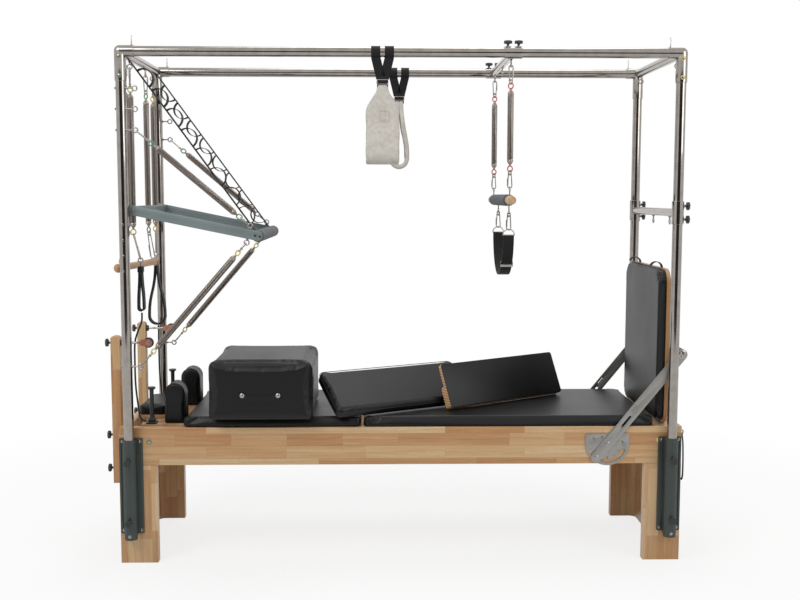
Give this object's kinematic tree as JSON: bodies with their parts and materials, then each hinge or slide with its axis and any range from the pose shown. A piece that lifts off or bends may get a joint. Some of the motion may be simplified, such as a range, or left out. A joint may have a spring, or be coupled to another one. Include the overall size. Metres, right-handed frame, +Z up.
{
  "type": "pilates trapeze table",
  "caption": "Padded wooden sliding-carriage bench under a steel tube canopy, with springs, straps, a push-through bar, a trapeze, a footbar and loose boards.",
  "frame": {"origin": "middle of the footprint, on the floor", "axes": "+X along the table towards the footbar end, +Y from the front side rail to the back one, +Z up"},
  "size_m": [2.5092, 0.859, 2.226],
  "materials": {
    "light_wood": "finger-jointed light hardwood, satin lacquer",
    "black_leather": "black grained upholstery leather",
    "grey_paint": "dark green-grey powder coat",
    "polished_steel": "polished tube",
    "spring_steel": "bright wound wire",
    "grey_plate": "satin grey plate",
    "black_plastic": "matte black",
    "black_webbing": "woven black webbing",
    "grey_foam": "matte foam",
    "white_fleece": "white fleece",
    "black_rope": "braided black rope"
  },
  "bodies": {
    "frame": {"side_rail_front": "light_wood", "side_rail_back": "light_wood", "end_frame_left": "light_wood", "end_frame_right": "light_wood", "post_socket_front_left": "grey_paint", "post_socket_front_right": "grey_paint", "post_socket_back_left": "grey_paint", "post_socket_back_right": "grey_paint", "post_front_left": "polished_steel", "post_front_right": "polished_steel", "post_back_left": "polished_steel", "post_back_right": "polished_steel", "top_tube_front": "polished_steel", "top_tube_back": "polished_steel", "canopy_end_left": "polished_steel", "canopy_end_right": "polished_steel", "riser_front": "light_wood", "riser_back": "light_wood", "rope_front": "black_rope", "rope_back": "black_rope", "upper_spring_front": "spring_steel", "upper_spring_back": "spring_steel", "lower_spring_front": "spring_steel", "lower_spring_back": "spring_steel", "safety_strap_front": "black_webbing", "safety_strap_back": "black_webbing", "footbar_plate_front": "grey_plate", "footbar_plate_back": "grey_plate", "spring_bar": "spring_steel"},
    "carriage": {"carriage_deck": "light_wood", "carriage_pad": "black_leather", "shoulder_rest_front": "black_leather", "shoulder_rest_back": "black_leather"},
    "headrest": {"headrest": "black_leather"},
    "sitting_box": {"sitting_box": "black_leather"},
    "mat": {"mat_deck": "light_wood", "mat_pad": "black_leather"},
    "padded_board": {"padded_board": "black_leather"},
    "platform_board": {"platform_board": "black_leather"},
    "footbar": {"footbar": "grey_plate"},
    "jumpboard": {"jumpboard_panel": "light_wood", "jumpboard_pad": "black_leather"},
    "push_bar": {"push_bar": "grey_paint"},
    "trolley": {"trolley_bar": "polished_steel"},
    "trapeze": {"trapeze_spring_front": "spring_steel", "trapeze_spring_back": "spring_steel", "trapeze_bar": "grey_foam"},
    "trapeze_sling": {"trapeze_sling": "black_webbing"},
    "fleece_front": {"fleece_sling_front": "white_fleece"},
    "fleece_back": {"fleece_sling_back": "white_fleece"},
    "lower_cross_bar": {"lower_cross_bar": "polished_steel"},
    "pulley_front": {"pulley_block_front": "polished_steel"},
    "pulley_back": {"pulley_block_back": "polished_steel"},
    "wheel_front": {"pulley_wheel_front": "black_plastic"},
    "wheel_back": {"pulley_wheel_back": "black_plastic"},
    "hand_loop_front": {"arm_spring_front": "spring_steel", "foot_loop_front": "black_webbing"},
    "hand_loop_back": {"arm_spring_back": "spring_steel", "foot_loop_back": "black_webbing"},
    "roll_down_bar": {"roll_down_bar": "light_wood"}
  },
  "joints": [
    {"name": "carriage_slide", "type": "slide", "parent": "frame", "child": "carriage", "axis": [1, 0, 0], "range_m": [-0.02, 0], "deforming": ["rope_front", "rope_back"]},
    {"name": "headrest_tilt", "type": "hinge", "parent": "carriage", "child": "headrest", "pos_m": [-1.02135, -0.0095, 0.5903], "axis": [0, 1, 0], "range_deg": [0, 25]},
    {"name": "box_lift", "type": "slide", "parent": "carriage", "child": "sitting_box", "axis": [0, 0, 1], "range_m": [0, 0.15]},
    {"name": "mat_lift", "type": "slide", "parent": "frame", "child": "mat", "axis": [0, 0, 1], "range_m": [0, 0.12]},
    {"name": "padded_board_lift", "type": "slide", "parent": "mat", "child": "padded_board", "axis": [0, 0, 1], "range_m": [0, 0.12]},
    {"name": "platform_board_lift", "type": "slide", "parent": "padded_board", "child": "platform_board", "axis": [0, 0, 1], "range_m": [0, 0.12]},
    {"name": "footbar_pivot", "type": "hinge", "parent": "frame", "child": "footbar", "pos_m": [0.89765, -0.0095, 0.516], "axis": [0, 1, 0], "range_deg": [-2, 29]},
    {"name": "jumpboard_lift", "type": "slide", "parent": "frame", "child": "jumpboard", "axis": [0, 0, 1], "range_m": [0, 0.15]},
    {"name": "push_bar_swing", "type": "hinge", "parent": "frame", "child": "push_bar", "pos_m": [-1.13835, -0.0095, 1.518], "axis": [0, 1, 0], "range_deg": [-25, 20], "stiffness_Nm_per_rad": 900, "deforming": ["upper_spring_front", "upper_spring_back", "lower_spring_front", "lower_spring_back", "safety_strap_front", "safety_strap_back"]},
    {"name": "trolley_slide", "type": "slide", "parent": "frame", "child": "trolley", "axis": [1, 0, 0], "range_m": [-0.25, 0.5]},
    {"name": "trapeze_swing", "type": "hinge", "parent": "trolley", "child": "trapeze", "pos_m": [0.46965, -0.0095, 2.11], "axis": [0, 1, 0], "range_deg": [-15, 15]},
    {"name": "trapeze_sling_swing", "type": "hinge", "parent": "trapeze", "child": "trapeze_sling", "pos_m": [0.46965, -0.0095, 1.499], "axis": [0, 1, 0], "range_deg": [-15, 15]},
    {"name": "fleece_front_swing", "type": "hinge", "parent": "frame", "child": "fleece_front", "pos_m": [-0.06735, -0.3795, 2.16], "axis": [1, 0, 0], "range_deg": [-20, 20]},
    {"name": "fleece_back_swing", "type": "hinge", "parent": "frame", "child": "fleece_back", "pos_m": [0.01665, 0.3605, 2.16], "axis": [1, 0, 0], "range_deg": [-20, 20]},
    {"name": "lower_cross_bar_slide", "type": "slide", "parent": "frame", "child": "lower_cross_bar", "axis": [0, 0, 1], "range_m": [-0.15, 0.45]},
    {"name": "pulley_front_swivel", "type": "hinge", "parent": "frame", "child": "pulley_front", "pos_m": [-1.07235, -0.2645, 0.945], "axis": [1, 0, 0], "range_deg": [-30, 30]},
    {"name": "pulley_back_swivel", "type": "hinge", "parent": "frame", "child": "pulley_back", "pos_m": [-1.07235, 0.2455, 0.945], "axis": [1, 0, 0], "range_deg": [-30, 30]},
    {"name": "wheel_front_spin", "type": "hinge", "parent": "pulley_front", "child": "wheel_front", "pos_m": [-1.07235, -0.2645, 0.945], "axis": [0, 1, 0], "continuous": true},
    {"name": "wheel_back_spin", "type": "hinge", "parent": "pulley_back", "child": "wheel_back", "pos_m": [-1.07235, 0.2455, 0.945], "axis": [0, 1, 0], "continuous": true},
    {"name": "hand_loop_front_swing", "type": "hinge", "parent": "frame", "child": "hand_loop_front", "pos_m": [-1.13835, -0.2115, 2.107], "axis": [1, 0, 0], "range_deg": [-4, 8]},
    {"name": "hand_loop_back_swing", "type": "hinge", "parent": "frame", "child": "hand_loop_back", "pos_m": [-1.13835, 0.2525, 2.107], "axis": [1, 0, 0], "range_deg": [-5, 2.5]},
    {"name": "roll_down_bar_swing", "type": "hinge", "parent": "frame", "child": "roll_down_bar", "pos_m": [-1.13835, -0.0095, 2.107], "axis": [0, 1, 0], "range_deg": [0, 25]}
  ]
}
